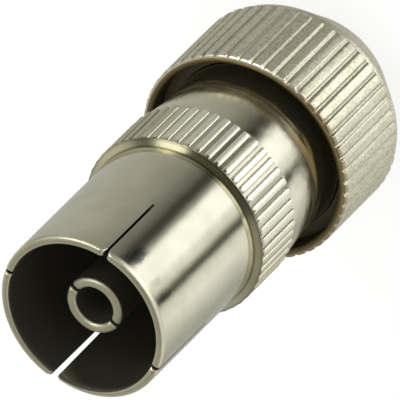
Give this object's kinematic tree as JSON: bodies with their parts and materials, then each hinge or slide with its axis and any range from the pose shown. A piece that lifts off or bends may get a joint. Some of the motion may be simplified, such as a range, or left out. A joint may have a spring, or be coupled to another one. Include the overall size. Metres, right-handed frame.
{
  "type": "coaxial connector",
  "caption": "Nickel-plated aerial socket with a slotted sleeve, a split centre contact, a ridged grip band and a knurled screw cap that clamps the cable.",
  "frame": {"origin": "centre of the cap's rear face, on which the connector stands", "axes": "+Z along the connector's axis from the cap to the open sleeve; +X through one of the sleeve's slots"},
  "size_m": [0.0132, 0.0132, 0.028],
  "materials": {
    "plated_brass": "bright nickel plating with a warm tint, turned and knurled",
    "plated_contact": "nickel plating, slightly dulled",
    "black_plastic": "moulded black plastic",
    "steel_screw": "zinc-plated",
    "bare_brass": "bare turned brass"
  },
  "bodies": {
    "cap": {"cap_nut": "plated_brass"},
    "claw": {"cable_claw": "bare_brass"},
    "shell": {"body_shell": "plated_brass", "insulator": "black_plastic", "socket_contact": "plated_contact", "conductor_screw": "steel_screw"}
  },
  "joints": [
    {"name": "cap_turn", "type": "hinge", "parent": "cap", "child": "claw", "pos_m": [0, 0, 0.0052], "axis": [0, 0, 1], "range_deg": [0, 1260]},
    {"name": "screw_travel", "type": "slide", "parent": "claw", "child": "shell", "axis": [0, 0, 1], "range_m": [0, 0.00263]}
  ],
  "couplings": [
    {"joint": "screw_travel", "follows": "cap_turn", "m_per_rad": 0.00011937}
  ]
}
